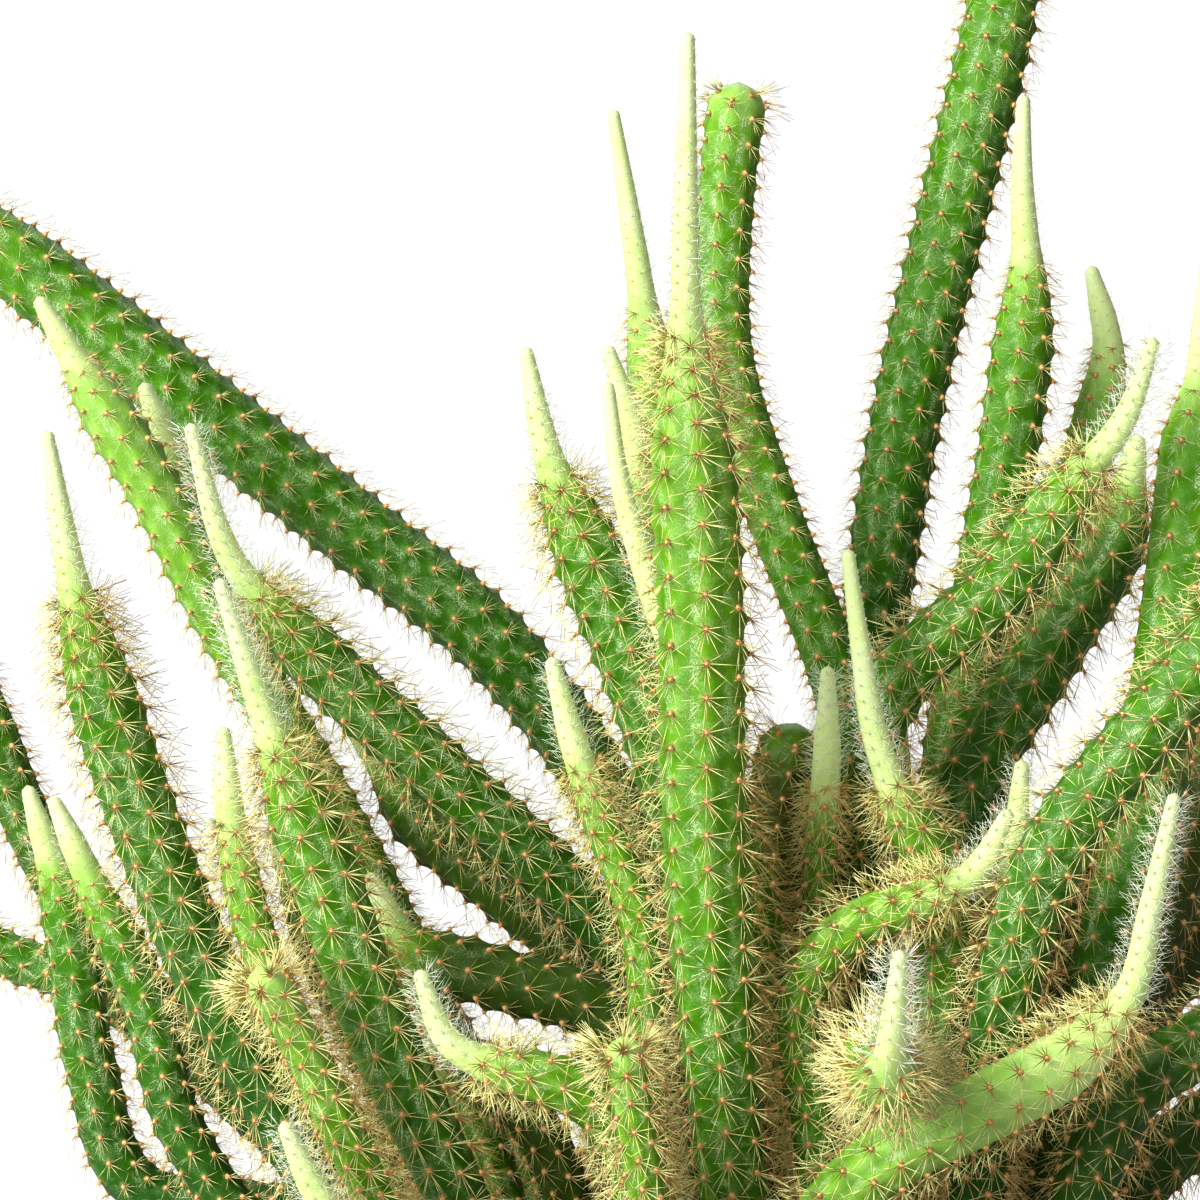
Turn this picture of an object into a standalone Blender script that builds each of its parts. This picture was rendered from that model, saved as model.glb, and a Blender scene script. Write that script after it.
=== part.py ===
# Potted rat tail cactus: a plain clay pot, its soil and the stems that stand in it.
# Metres, +Z up. The origin is the centre of the pot's underside and the front faces -Y.

import math
from collections import namedtuple

import bmesh
import bpy
import numpy as np
from mathutils import Matrix, Vector

MM = 0.001
GAP = 0.3 * MM

# Pot, a 15 cm half pot of plain clay
POT_HEIGHT = 110 * MM
POT_TOP_RADIUS = 76 * MM
POT_FOOT_RADIUS = 54 * MM
RIM_HEIGHT = 26 * MM
RIM_STEP = 4 * MM
WALL = 7 * MM
FLOOR = 8 * MM
EDGE_ROUND = 1.2 * MM
POT_SIDES = 28
DRAIN_RADIUS = 4 * MM
DRAIN_PLACE = 27 * MM
DRAIN_COUNT = 4
DRAIN_SIDES = 10

# Soil and the holes that the stems stand in
SOIL_TOP = 102 * MM
ROOT_DEPTH = 8 * MM
ROOT_RISE = 1 * MM

# Stems. Root thickness and swell are shares of a stem's full thickness and of its length.
SIDES = 8
RING_SPACING = 15.5 * MM
TUBERCLE = 0.18
ROOT_THICKNESS = 0.68
SWELL = 0.55
TAIL_THICKNESS = 3.8 * MM
TIP_THICKNESS = 1.4 * MM
TIP_CAP = 1.5 * MM
SPINE_LENGTH = 5.5 * MM
SPINE_LEAN = math.radians(52)
AREOLE = 0.55 * MM
TUFT_RADIUS = 4.6 * MM
AREOLE_TURN = 3
BARE_FOOT = 12 * MM

# Each stem: greatest thickness, shoulder and tail length, the root's place on the soil and the
# points it passes through on its way up, ending at the tip. Millimetres.
Stem = namedtuple("Stem", "thickness shoulder tail root points")

STEMS = {
    "front_main": Stem(13.6, 30, 34, (4, -30), [
        (-1, -38, 140), (-5, -41, 185), (-6, -41, 225), (-8, -40, 262), (-8, -40, 303)]),
    "left_outer": Stem(11.5, 24, 18, (-44, -20), [
        (-64, -25, 139), (-79, -25, 170), (-88, -25, 195), (-95, -25, 221), (-99, -25, 246)]),
    "left_front": Stem(11.1, 18, 20, (-27, -37), [
        (-41, -45, 140), (-52, -47, 166), (-60, -46, 190), (-66, -45, 206), (-73, -45, 228)]),
    "left_long": Stem(11.0, 20, 22, (2, 8), [
        (-4, 2, 140), (-17, 0, 163), (-44, -2, 191), (-64, -5, 211), (-74, -8, 224),
        (-80, -10, 245)]),
    "back_left_long": Stem(14.0, 30, 30, (-9, 33), [
        (-10, 42, 150), (-20, 47, 178), (-37, 49, 201), (-60, 50, 220), (-95, 48, 249),
        (-125, 46, 276), (-142, 44, 309)]),
    "left_pale": Stem(9.4, 15, 8, (-32, 10), [
        (-46, 13, 150), (-66, 15, 190), (-79, 15, 213), (-88, 14, 232), (-97, 14, 247),
        (-105, 14, 261)]),
    "left_pale_behind": Stem(8.0, 15, 6, (-28, 26), [
        (-48, 32, 150), (-70, 33, 190), (-81, 31, 212), (-86, 30, 232), (-91, 30, 246)]),
    "far_left_up": Stem(9.1, 16, 8, (-49, 10), [
        (-54, 11, 116), (-74, 12, 119), (-92, 12, 122), (-99, 12, 141), (-102, 12, 164),
        (-108, 12, 186)]),
    "far_left_near": Stem(8.4, 20, 8, (-52, -6), [
        (-57, -6, 115), (-72, -6, 121), (-83, -6, 136), (-89, -5, 158), (-96, -5, 174),
        (-102, -5, 188)]),
    "far_left_dark": Stem(9.0, 20, 16, (-40, 34), [
        (-45, 37, 115), (-62, 40, 124), (-84, 42, 137), (-103, 42, 156), (-113, 41, 176),
        (-119, 40, 196), (-122, 38, 220)]),
    "far_left_level": Stem(8.2, 18, 14, (-48, 23), [
        (-53, 25, 115), (-70, 27, 124), (-88, 27, 141), (-102, 26, 151), (-115, 26, 156),
        (-127, 25, 165), (-135, 24, 182)]),
    "left_shoot": Stem(6.4, 16, 10, (-38, -29), [
        (-52, -33, 138), (-64, -33, 160), (-70, -31, 175), (-73, -30, 190), (-74, -30, 204)]),
    "left_blunt": Stem(6.6, 0, 0, (-34, -43), [
        (-39, -48, 118), (-49, -57, 138), (-56, -61, 154), (-61, -62, 166), (-67, -62, 177)]),
    "left_low_tip": Stem(6.2, 18, 10, (-23, -49), [
        (-29, -55, 117), (-43, -66, 129), (-53, -72, 140), (-59, -72, 149), (-63, -72, 158)]),
    "left_level": Stem(8.2, 14, 12, (-14, -47), [
        (-14, -54, 133), (-18, -57, 153), (-26, -60, 160), (-34, -60, 162), (-40, -60, 165),
        (-45, -60, 176)]),
    "front_blunt": Stem(6.0, 0, 0, (-4, -54), [
        (-6, -58, 115), (-11, -67, 134), (-14, -72, 150), (-17, -72, 170)]),
    "shade_left": Stem(10.5, 14, 6, (-17, -23), [
        (-16, -20, 138), (-20, -19, 158), (-35, -20, 164), (-48, -20, 169), (-54, -20, 180)]),
    "shade_left_low": Stem(8.0, 14, 6, (-27, -22), [
        (-25, -27, 134), (-33, -31, 149), (-42, -32, 154), (-48, -32, 163)]),
    "middle_left": Stem(12.6, 22, 14, (-2, -14), [
        (-3, -13, 150), (-8, -11, 188), (-15, -9, 210), (-21, -8, 224), (-27, -8, 238),
        (-31, -8, 256)]),
    "middle_shoot": Stem(7.0, 34, 34, (14, -15), [
        (8, -21, 150), (-4, -24, 200), (-13, -25, 224), (-17, -25, 238), (-19, -25, 253)]),
    "middle_behind": Stem(7.0, 22, 12, (-12, 16), [
        (-7, 19, 150), (-8, 20, 190), (-13, 20, 222), (-15, 20, 240), (-19, 20, 253)]),
    "middle_back": Stem(10.2, 24, 26, (7, 47), [
        (3, 54, 150), (-4, 55, 200), (-11, 53, 240), (-14, 51, 262), (-18, 50, 287)]),
    "behind_main": Stem(9.6, 0, 0, (22, 10), [
        (22, 12, 150), (17, 15, 200), (6, 17, 229), (-1, 18, 252), (-1, 18, 275), (1, 18, 293)]),
    "shade_middle": Stem(11.5, 0, 0, (6, 24), [
        (8, 29, 150), (8, 30, 178), (11, 30, 192)]),
    "back_tall": Stem(12.4, 24, 22, (20, 32), [
        (20, 37, 150), (23, 40, 200), (29, 40, 243), (36, 40, 275), (43, 40, 307),
        (46, 40, 345)]),
    "right_tall": Stem(10.5, 20, 20, (34, 12), [
        (33, 15, 150), (34, 18, 185), (39, 20, 215), (43, 20, 240), (45, 20, 262),
        (44, 20, 278), (44, 20, 291)]),
    "right_tall_behind": Stem(8.6, 18, 8, (46, 20), [
        (44, 27, 150), (43, 30, 190), (51, 31, 215), (57, 32, 238), (59, 32, 250),
        (56, 32, 264)]),
    "right_long": Stem(10.6, 16, 16, (27, -5), [
        (22, -8, 150), (18, -11, 194), (24, -16, 208), (39, -24, 225), (47, -28, 238),
        (54, -30, 248), (58, -31, 260)]),
    "right_long_below": Stem(11.4, 14, 4, (31, 4), [
        (34, 2, 150), (36, 1, 188), (48, 1, 210), (57, 0, 227), (60, 0, 242)]),
    "right_edge": Stem(12.0, 14, 16, (43, -13), [
        (51, -17, 150), (60, -18, 190), (64, -18, 220), (66, -18, 243), (67, -18, 271)]),
    "right_spiny": Stem(10.8, 20, 20, (33, -38), [
        (35, -42, 150), (45, -46, 192), (57, -47, 208), (67, -46, 221), (76, -44, 238),
        (80, -43, 264)]),
    "front_right": Stem(10.9, 20, 26, (6, -48), [
        (6, -53, 128), (17, -55, 145), (35, -56, 156), (45, -56, 162), (53, -56, 171),
        (56, -56, 184), (59, -56, 200)]),
    "facing": Stem(10.4, 12, 14, (23, -45), [
        (22, -39, 142), (20, -48, 159), (18, -66, 165), (18, -84, 168), (18, -90, 174),
        (19, -91, 187)]),
    "front_arm": Stem(7.6, 16, 10, (14, -35), [
        (11, -33, 145), (9, -33, 165), (17, -38, 177), (26, -40, 181), (32, -40, 184),
        (38, -40, 194)]),
    "right_upright": Stem(7.2, 18, 12, (36, -23), [
        (38, -24, 140), (40, -25, 165), (40, -25, 180), (41, -25, 198)]),
    "right_shoot": Stem(8.5, 12, 32, (25, -26), [
        (28, -28, 150), (28, -30, 183), (22, -32, 195), (19, -32, 204), (17, -32, 216),
        (15, -32, 230)]),
    "inner_shoot": Stem(5.4, 18, 12, (12, 1), [
        (12, -12, 140), (12, -19, 178), (13, -21, 198), (13, -21, 211)]),
    "front_shoot": Stem(6.0, 18, 12, (-9, -39), [
        (-13, -36, 150), (-15, -36, 178), (-21, -35, 194), (-25, -35, 207), (-27, -35, 215)]),
    "shade_back_left": Stem(11.5, 14, 6, (-15, 3), [
        (-15, 9, 140), (-22, 14, 157), (-36, 19, 169), (-47, 21, 178), (-53, 22, 186),
        (-60, 22, 195)]),
    "right_level": Stem(10.6, 18, 14, (46, -32), [
        (50, -38, 138), (57, -40, 154), (66, -40, 160), (76, -39, 168), (83, -38, 188)]),
    "right_low": Stem(11.5, 18, 14, (56, -8), [
        (63, -9, 131), (76, -9, 142), (88, -8, 154), (97, -7, 179)]),
    "right_shade": Stem(9.4, 18, 14, (50, 6), [
        (58, 13, 128), (66, 19, 156), (74, 23, 182), (80, 25, 212)]),
    "back_right": Stem(10.0, 20, 20, (35, 38), [
        (39, 43, 117), (53, 54, 142), (70, 64, 172), (80, 68, 196), (88, 70, 231)]),
    "left_shade": Stem(8.5, 16, 10, (-34, -4), [
        (-50, -8, 139), (-57, -10, 155), (-63, -10, 169), (-67, -10, 181), (-69, -10, 190)]),
    "right_behind": Stem(12.5, 18, 12, (47, 33), [
        (48, 34, 117), (54, 36, 127), (63, 38, 138), (72, 39, 150), (78, 40, 165),
        (82, 40, 184)]),
    "back_middle": Stem(10.4, 18, 18, (15, 50), [
        (17, 56, 117), (24, 74, 138), (29, 88, 160), (31, 94, 178), (28, 96, 196)]),
    "back_left": Stem(9.6, 18, 16, (-18, 46), [
        (-19, 53, 117), (-22, 68, 139), (-29, 77, 155), (-40, 81, 167), (-48, 84, 180)]),
    "front_low": Stem(9.0, 18, 20, (17, -55), [
        (20, -59, 119), (32, -74, 127), (44, -90, 119), (52, -101, 106), (57, -108, 103),
        (60, -113, 114)]),
}


def new_material(name, color, roughness):
    """A Principled material; clay, soil and plant are none of them metal."""
    material = bpy.data.materials.new(name)
    material.use_nodes = True
    shader = material.node_tree.nodes["Principled BSDF"]
    shader.inputs["Base Color"].default_value = (*color, 1)
    shader.inputs["Roughness"].default_value = roughness
    shader.inputs["Metallic"].default_value = 0
    material.diffuse_color = (*color, 1)
    return material


def add_mesh_object(name, bm, collection, material=None):
    mesh = bpy.data.meshes.new(name)
    bm.to_mesh(mesh)
    bm.free()
    obj = bpy.data.objects.new(name, mesh)
    collection.objects.link(obj)
    if material:
        mesh.materials.append(material)
    return obj


def apply_modifiers(obj):
    """Replace an object's mesh by its evaluated one."""
    evaluated = obj.evaluated_get(bpy.context.evaluated_depsgraph_get())
    mesh = bpy.data.meshes.new_from_object(evaluated)
    obj.modifiers.clear()
    obj.data = mesh


def add_cutter(name, bm):
    cutter = add_mesh_object(name, bm, cutters)
    cutter.hide_render = True
    cutter.display_type = "WIRE"
    return cutter


def cut(obj, cutter):
    modifier = obj.modifiers.new("cut", "BOOLEAN")
    modifier.operation = "DIFFERENCE"
    modifier.object = cutter
    apply_modifiers(obj)


def upright_cylinder(bm, radius, bottom, top, x, y, sides):
    """One closed upright cylinder, or one more, in a bmesh."""
    middle = Matrix.Translation((x, y, (bottom + top) / 2))
    bmesh.ops.create_cone(bm, cap_ends=True, segments=sides, radius1=radius, radius2=radius,
                          depth=top - bottom, matrix=middle)


def pot_inner_radius(height):
    """Radius of the inside of the pot at a height above its underside."""
    outer = POT_FOOT_RADIUS + (POT_TOP_RADIUS - RIM_STEP - POT_FOOT_RADIUS) * height / POT_HEIGHT
    return outer - WALL


def make_pot():
    """The pot is a turned outline: the floor inside, the inner wall, the rim and the outer wall."""
    rim_bottom = POT_HEIGHT - RIM_HEIGHT
    outline = [
        (0, FLOOR),
        (pot_inner_radius(FLOOR), FLOOR),
        (pot_inner_radius(POT_HEIGHT), POT_HEIGHT),
        (POT_TOP_RADIUS, POT_HEIGHT),
        (POT_TOP_RADIUS - RIM_STEP / 3, rim_bottom),
        (pot_inner_radius(rim_bottom) + WALL, rim_bottom - RIM_STEP / 2),
        (POT_FOOT_RADIUS, 0),
        (0, 0),
    ]
    bm = bmesh.new()
    points = [bm.verts.new((radius, 0, height)) for radius, height in outline]
    for start, end in zip(points, points[1:]):
        bm.edges.new((start, end))
    pot = add_mesh_object("pot", bm, plant, new_material("clay", (0.50, 0.20, 0.10), 0.85))
    screw = pot.modifiers.new("turn", "SCREW")
    screw.steps = POT_SIDES
    screw.render_steps = POT_SIDES
    screw.use_merge_vertices = True
    screw.merge_threshold = 0.00001
    edges = pot.modifiers.new("soft edges", "BEVEL")
    edges.width = EDGE_ROUND
    edges.segments = 1
    edges.limit_method = "ANGLE"
    edges.angle_limit = math.radians(35)
    apply_modifiers(pot)

    drains = bmesh.new()
    for index in range(DRAIN_COUNT):
        angle = (index + 0.5) * 2 * math.pi / DRAIN_COUNT
        upright_cylinder(drains, DRAIN_RADIUS, -FLOOR, 2 * FLOOR,
                         DRAIN_PLACE * math.cos(angle), DRAIN_PLACE * math.sin(angle),
                         DRAIN_SIDES)
    cut(pot, add_cutter("drain_holes", drains))
    return pot


def hole_radius(stem):
    """An eight-sided hole whose flats stay the gap away from the stem's root."""
    root_radius = stem.thickness / 2 * MM * ROOT_THICKNESS
    return (root_radius + GAP) / math.cos(math.pi / SIDES)


def make_soil():
    """The soil fills the pot from above its floor's rounded edge to below the rim."""
    bottom = FLOOR + EDGE_ROUND + GAP
    bm = bmesh.new()
    side_gap = GAP / math.cos(math.pi / POT_SIDES)
    bmesh.ops.create_cone(bm, cap_ends=True, segments=POT_SIDES,
                          radius1=pot_inner_radius(bottom) - side_gap,
                          radius2=pot_inner_radius(SOIL_TOP) - side_gap,
                          depth=SOIL_TOP - bottom,
                          matrix=Matrix.Translation((0, 0, (SOIL_TOP + bottom) / 2)))
    soil = add_mesh_object("soil", bm, plant, new_material("soil", (0.06, 0.035, 0.02), 1.0))
    holes = bmesh.new()
    for stem in STEMS.values():
        upright_cylinder(holes, hole_radius(stem), SOIL_TOP - ROOT_DEPTH, SOIL_TOP + ROOT_DEPTH,
                         stem.root[0] * MM, stem.root[1] * MM, SIDES)
    cut(soil, add_cutter("stem_holes", holes))
    return soil


def unit(vector):
    return vector / np.linalg.norm(vector)


def stem_path(stem):
    """Points at every millimetre or so along a smooth line through the stem's own points."""
    x, y = stem.root
    floor = (SOIL_TOP - ROOT_DEPTH + GAP) / MM
    rise = (SOIL_TOP + ROOT_RISE) / MM
    stops = np.array([(x, y, floor), (x, y, rise), *stem.points], dtype=float)
    chords = np.diff(stops, axis=0)
    lengths = np.linalg.norm(chords, axis=1)
    directions = chords / lengths[:, None]
    tangents = [directions[0], directions[0]]
    for index in range(2, len(stops) - 1):
        before = directions[index - 1] / lengths[index - 1]
        after = directions[index] / lengths[index]
        tangents.append(unit(before + after))
    tangents.append(directions[-1])
    samples = []
    for index, length in enumerate(lengths):
        count = max(2, round(length))
        for step in range(count):
            t = step / count
            start_weight = 2 * t**3 - 3 * t**2 + 1
            start_pull = t**3 - 2 * t**2 + t
            end_pull = t**3 - t**2
            samples.append(start_weight * stops[index] + (1 - start_weight) * stops[index + 1]
                           + length * (start_pull * tangents[index] + end_pull * tangents[index + 1]))
    samples.append(stops[-1])
    return np.array(samples) * MM


def smooth_step(value):
    value = min(1, max(0, value))
    return value * value * (3 - 2 * value)


def stem_radius(stem, along, length):
    """Radius at a distance along the stem: a slimmer root, a full body, a shoulder and a thin tail."""
    full = stem.thickness / 2 * MM
    swell = smooth_step(along / (SWELL * length))
    body = full * (ROOT_THICKNESS + (1 - ROOT_THICKNESS) * swell)
    if stem.tail == 0:
        into_dome = min(1, max(0, (along - length + full) / full))
        return body * math.sqrt(1 - into_dome**2)
    tail_start = length - stem.tail * MM
    shoulder = smooth_step((along - tail_start + stem.shoulder * MM) / (stem.shoulder * MM))
    tail = min(1, max(0, (along - tail_start) / (stem.tail * MM)))
    thin = (TAIL_THICKNESS + (TIP_THICKNESS - TAIL_THICKNESS) * tail) / 2
    return body + (min(body, thin) - body) * shoulder


class Course:
    """A stem's middle line with its length, radius and cross directions at every sample."""

    def __init__(self, stem):
        self.stem = stem
        self.points = stem_path(stem)
        steps = np.linalg.norm(np.diff(self.points, axis=0), axis=1)
        self.along = np.concatenate([[0], np.cumsum(steps)])
        self.length = self.along[-1]
        self.radii = np.array([stem_radius(stem, along, self.length) for along in self.along])
        tangents = np.gradient(self.points, axis=0)
        self.tangents = np.array([unit(tangent) for tangent in tangents])
        side = np.array([1.0, 0.0, 0.0])
        self.sides = []
        for tangent in self.tangents:
            side = unit(side - tangent * np.dot(side, tangent))
            self.sides.append(side)
        self.sides = np.array(self.sides)

    def at(self, along, values):
        return np.array([np.interp(along, self.along, values[:, axis]) for axis in range(3)])

    def ring(self, along):
        """Centre, radius and the two cross directions at a distance along the stem."""
        tangent = unit(self.at(along, self.tangents))
        side = unit(self.at(along, self.sides))
        radius = np.interp(along, self.along, self.radii)
        return self.at(along, self.points), radius, side, np.cross(tangent, side)


def ring_places(course):
    """Distances along the stem of its rings: the root, even steps, and the tip."""
    first = ROOT_DEPTH + ROOT_RISE
    last = course.length - TIP_CAP
    count = max(5, round((last - first) / RING_SPACING))
    return [0, *np.linspace(first, last, count + 1), course.length]


def tubercle_factor(ring, side):
    """Every other corner of a ring stands out, and the next ring's corners lie between."""
    return 1 if (ring + side) % 2 == 0 else 1 - TUBERCLE


def wrap_grid(bm, course, places):
    """Wrap a flat grid round the middle line, close its seam and its tip, and fill its foot.

    The places of the areoles come back, each with the way it faces.
    """
    rings = len(places) - 1
    bmesh.ops.create_grid(bm, x_segments=SIDES, y_segments=rings, size=1)
    areoles = []
    for vertex in bm.verts:
        side = round((vertex.co.x + 1) / 2 * SIDES)
        ring = round((vertex.co.y + 1) / 2 * rings)
        centre, radius, across, up = course.ring(places[ring])
        if ring == rings:
            radius = 0
        elif ring > 1:
            radius *= tubercle_factor(ring, side)
        angle = 2 * math.pi * side / SIDES
        outward = math.cos(angle) * across + math.sin(angle) * up
        vertex.co = centre + radius * outward
        bears_spines = side == (AREOLE_TURN * ring) % SIDES and ring < rings
        if bears_spines and places[ring] > ROOT_DEPTH + BARE_FOOT:
            areoles.append((vertex.co.copy(), Vector(outward)))
    bmesh.ops.remove_doubles(bm, verts=bm.verts, dist=MM / 1000)
    bmesh.ops.holes_fill(bm, edges=bm.edges, sides=SIDES)
    bmesh.ops.recalc_face_normals(bm, faces=bm.faces)
    return areoles


def has_room(name, middle):
    """Whether a ball round a tuft of spines is clear of the pot, the soil and all other stems."""
    if middle.z < POT_HEIGHT + TUFT_RADIUS:
        over_pot = middle.xy.length < POT_TOP_RADIUS + TUFT_RADIUS
        if over_pot and (middle.z < SOIL_TOP + TUFT_RADIUS
                         or middle.xy.length > pot_inner_radius(SOIL_TOP) - TUFT_RADIUS):
            return False
    for other, course in courses.items():
        distances = np.linalg.norm(course.points - np.array(middle), axis=1) - course.radii
        if other != name and distances.min() < TUFT_RADIUS:
            return False
    return all((middle - tuft).length > 2 * TUFT_RADIUS for tuft in tufts)


def add_tuft(bm, vertex):
    """Bevel an areole's corner, poke it in four and draw each quarter out to a leaning spine."""
    pad = bmesh.ops.bevel(bm, geom=[vertex], offset=AREOLE, segments=1, profile=0.5,
                          affect="VERTICES")["faces"][0]
    outward = pad.normal.copy()
    poked = bmesh.ops.poke(bm, faces=[pad])
    middle = poked["verts"][0].co.copy()
    for quarter in poked["faces"]:
        base = quarter.calc_center_median()
        sideways = (base - middle).normalized()
        lean = outward * math.cos(SPINE_LEAN) + sideways * math.sin(SPINE_LEAN)
        top = bmesh.ops.extrude_discrete_faces(bm, faces=[quarter])["faces"][0]
        bmesh.ops.pointmerge(bm, verts=top.verts[:], merge_co=base + lean * SPINE_LENGTH)


def make_stem(name, course):
    """A ribbed stem with its tufts of spines, all one body."""
    bm = bmesh.new()
    areoles = wrap_grid(bm, course, ring_places(course))
    for place, outward in areoles:
        middle = place + outward * SPINE_LENGTH / 2
        if has_room(name, middle):
            tufts.append(middle)
            vertex = min(bm.verts, key=lambda corner: (corner.co - place).length)
            add_tuft(bm, vertex)
    stem = add_mesh_object(name, bm, plant, stem_green)
    stem.data.shade_smooth()
    stem.data.set_sharp_from_angle(angle=math.radians(50))
    return stem


for leftover in list(bpy.data.objects):
    bpy.data.objects.remove(leftover)

plant = bpy.data.collections.new("potted_rat_tail_cactus")
cutters = bpy.data.collections.new("cutters")
for group in (plant, cutters):
    bpy.context.scene.collection.children.link(group)

make_pot()
make_soil()
stem_green = new_material("stem", (0.10, 0.32, 0.05), 0.45)
courses = {name: Course(stem) for name, stem in STEMS.items()}
tufts = []
for name, course in courses.items():
    make_stem(name, course)
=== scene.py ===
import math
from collections import namedtuple

import bpy
import numpy as np
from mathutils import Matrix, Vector, noise


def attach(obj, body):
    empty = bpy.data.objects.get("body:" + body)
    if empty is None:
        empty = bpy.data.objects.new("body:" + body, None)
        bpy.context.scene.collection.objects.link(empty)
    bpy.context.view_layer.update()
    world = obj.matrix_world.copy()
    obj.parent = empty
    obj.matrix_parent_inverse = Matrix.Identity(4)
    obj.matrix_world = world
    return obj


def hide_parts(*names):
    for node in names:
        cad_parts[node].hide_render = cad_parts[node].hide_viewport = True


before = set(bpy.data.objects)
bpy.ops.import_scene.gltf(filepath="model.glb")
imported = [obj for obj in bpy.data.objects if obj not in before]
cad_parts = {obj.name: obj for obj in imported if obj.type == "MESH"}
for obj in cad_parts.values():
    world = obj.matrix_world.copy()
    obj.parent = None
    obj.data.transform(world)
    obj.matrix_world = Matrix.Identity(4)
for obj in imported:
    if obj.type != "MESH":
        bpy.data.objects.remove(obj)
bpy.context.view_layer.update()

# Potted rat tail cactus. The solids give every place and size, this file gives the looks.
# Metres, Z up, the front faces -Y.

mm = 0.001
fullTurn = 2 * math.pi
bpy.ops.object.select_all(action="DESELECT")


def paint(red, green, blue):  # a screen colour, 0 to 255, as the linear colour that sockets take
    shares = [value / 255 for value in (red, green, blue)]
    return (*[((share + 0.055) / 1.055) ** 2.4 if share > 0.04 else share / 12.92 for share in shares], 1)


def unit(vectors):
    return vectors / np.linalg.norm(vectors, axis=-1, keepdims=True)


def smoothStep(values):
    values = np.clip(values, 0, 1)
    return values * values * (3 - 2 * values)


def selectOnly(piece):
    bpy.ops.object.select_all(action="DESELECT")
    piece.select_set(True)
    bpy.context.view_layer.objects.active = piece


def named(piece, name):
    piece.name = name
    piece.data.name = name
    return piece


def placesOf(mesh):
    places = np.zeros(len(mesh.vertices) * 3)
    mesh.vertices.foreach_get("co", places)
    return places.reshape(-1, 3)


def setPlaces(mesh, places):
    mesh.vertices.foreach_set("co", np.ascontiguousarray(places, dtype=np.float32).ravel())
    mesh.update()


def takeShape(piece):  # a small modelled piece as plain points and triangles, ready to be copied
    mesh = piece.data
    mesh.calc_loop_triangles()
    corners = np.zeros(len(mesh.loop_triangles) * 3, dtype=int)
    mesh.loop_triangles.foreach_get("vertices", corners)
    shape = placesOf(mesh), corners.reshape(-1, 3)
    bpy.data.objects.remove(piece)
    return shape


def meshFromTriangles(name, places, corners):
    mesh = bpy.data.meshes.new(name)
    mesh.vertices.add(len(places))
    mesh.loops.add(len(corners) * 3)
    mesh.polygons.add(len(corners))
    mesh.vertices.foreach_set("co", places.astype(np.float32).ravel())
    mesh.loops.foreach_set("vertex_index", corners.astype(np.int32).ravel())
    mesh.polygons.foreach_set("loop_start", np.arange(0, len(corners) * 3, 3, dtype=np.int32))
    mesh.update(calc_edges=True)
    mesh.validate()
    piece = bpy.data.objects.new(name, mesh)
    bpy.context.scene.collection.objects.link(piece)
    return piece


def setValues(mesh, name, values):
    layer = mesh.attributes.new(name=name, type="FLOAT", domain="POINT")
    layer.data.foreach_set("value", np.ascontiguousarray(values, dtype=np.float32))


def editAll():
    bpy.ops.object.mode_set(mode="EDIT")
    bpy.ops.mesh.select_all(action="SELECT")


def leaveEdit():
    bpy.ops.object.mode_set(mode="OBJECT")


def placeInMesh(piece):
    selectOnly(piece)
    bpy.ops.object.transform_apply(location=True, rotation=True, scale=True)


def hand(piece, node, material):  # the piece stands for its CAD node
    piece.data.materials.clear()
    piece.data.materials.append(material)
    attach(piece, "root")
    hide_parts(node)
    return piece


def addNode(tree, kind, place, inputs=None, **settings):  # an input is a value, or a socket to link
    node = tree.nodes.new("ShaderNode" + kind)
    node.location = place
    for name, value in settings.items():
        setattr(node, name, value)
    for name, value in (inputs or {}).items():
        if isinstance(value, bpy.types.NodeSocket):
            tree.links.new(value, node.inputs[name])
        else:
            node.inputs[name].default_value = value
    return node


def doMath(tree, place, operation, first, second=0.0, clamp=False):
    node = addNode(tree, "Math", place, {0: first, 1: second}, operation=operation, use_clamp=clamp)
    return node.outputs[0]


def mixColour(tree, place, factor, first, second):
    node = addNode(tree, "Mix", place, {0: factor, 6: first, 7: second}, data_type="RGBA")
    return node.outputs[2]


def fitRange(tree, place, value, low, high, toLow=0.0, toHigh=1.0):
    node = addNode(tree, "MapRange", place, {0: value, 1: low, 2: high, 3: toLow, 4: toHigh})
    return node.outputs[0]


def ramp(tree, place, value, stops):
    node = addNode(tree, "ValToRGB", place, {0: value})
    elements = node.color_ramp.elements
    while len(elements) < len(stops):
        elements.new(0.5)
    for element, (position, colour) in zip(elements, stops):
        element.position = position
        element.color = colour
    return node.outputs[0]


def newGroup(name, inputs, outputs):
    group = bpy.data.node_groups.new(name, "ShaderNodeTree")
    for label, value in inputs.items():
        kind = "NodeSocketVector" if value is None else "NodeSocketFloat"
        socket = group.interface.new_socket(name=label, in_out="INPUT", socket_type=kind)
        if value is not None:
            socket.default_value = value
    for label in outputs:
        group.interface.new_socket(name=label, in_out="OUTPUT", socket_type="NodeSocketFloat")
    start = group.nodes.new("NodeGroupInput")
    start.location = (-800, 0)
    end = group.nodes.new("NodeGroupOutput")
    end.location = (800, 0)
    return group, start.outputs, end.inputs


def useGroup(tree, group, place, inputs):
    return addNode(tree, "Group", place, inputs, node_tree=group).outputs


def objectPlace(tree, place):
    return addNode(tree, "TexCoord", place).outputs["Object"]


def pointValues(tree, place, *names):  # values that the mesh holds for each of its points
    return [addNode(tree, "Attribute", (place[0], place[1] - 180 * i), attribute_name=name).outputs["Fac"]
            for i, name in enumerate(names)]


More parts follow.
